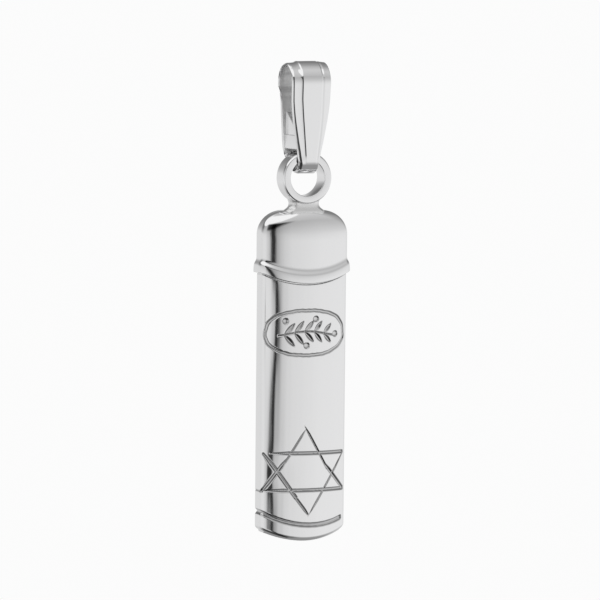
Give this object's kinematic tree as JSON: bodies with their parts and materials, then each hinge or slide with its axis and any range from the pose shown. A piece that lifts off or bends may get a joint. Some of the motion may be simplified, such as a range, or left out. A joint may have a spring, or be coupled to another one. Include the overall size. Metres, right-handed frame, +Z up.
{
  "type": "mezuzah case",
  "caption": "Half-round mezuzah case pendant: strap bail, hanging ring, domed pull-off cap with collar bead, engraved oval and six-pointed star, and a rolled parchment inside.",
  "frame": {"origin": "the centre of the bail's chain eye, on the line that a chain runs along", "axes": "+Z up along the case, towards the bail; -Y is the engraved front and +Y the flat back; +X to the right seen from the front"},
  "size_m": [0.0066, 0.0028, 0.0321],
  "materials": {
    "polished_silver": "mirror-polished silver",
    "parchment": "matt parchment"
  },
  "bodies": {
    "bail": {"bail_strap": "polished_silver", "bail_bridge": "polished_silver"},
    "cap": {"hanging_ring": "polished_silver", "cap_shell": "polished_silver", "cap_back_plate": "polished_silver", "collar_bead": "polished_silver"},
    "case": {"front_shell": "polished_silver", "back_plate": "polished_silver", "bottom_plate": "polished_silver", "inner_sleeve": "polished_silver", "parchment_scroll": "parchment"}
  },
  "joints": [
    {"name": "ring_swing", "type": "hinge", "parent": "bail", "child": "cap", "pos_m": [0, 0, -0.00515], "axis": [1, 0, 0], "range_deg": [-16, 16]},
    {"name": "case_pull", "type": "slide", "parent": "cap", "child": "case", "axis": [0, 0, -1], "range_m": [0, 0.0075]}
  ]
}
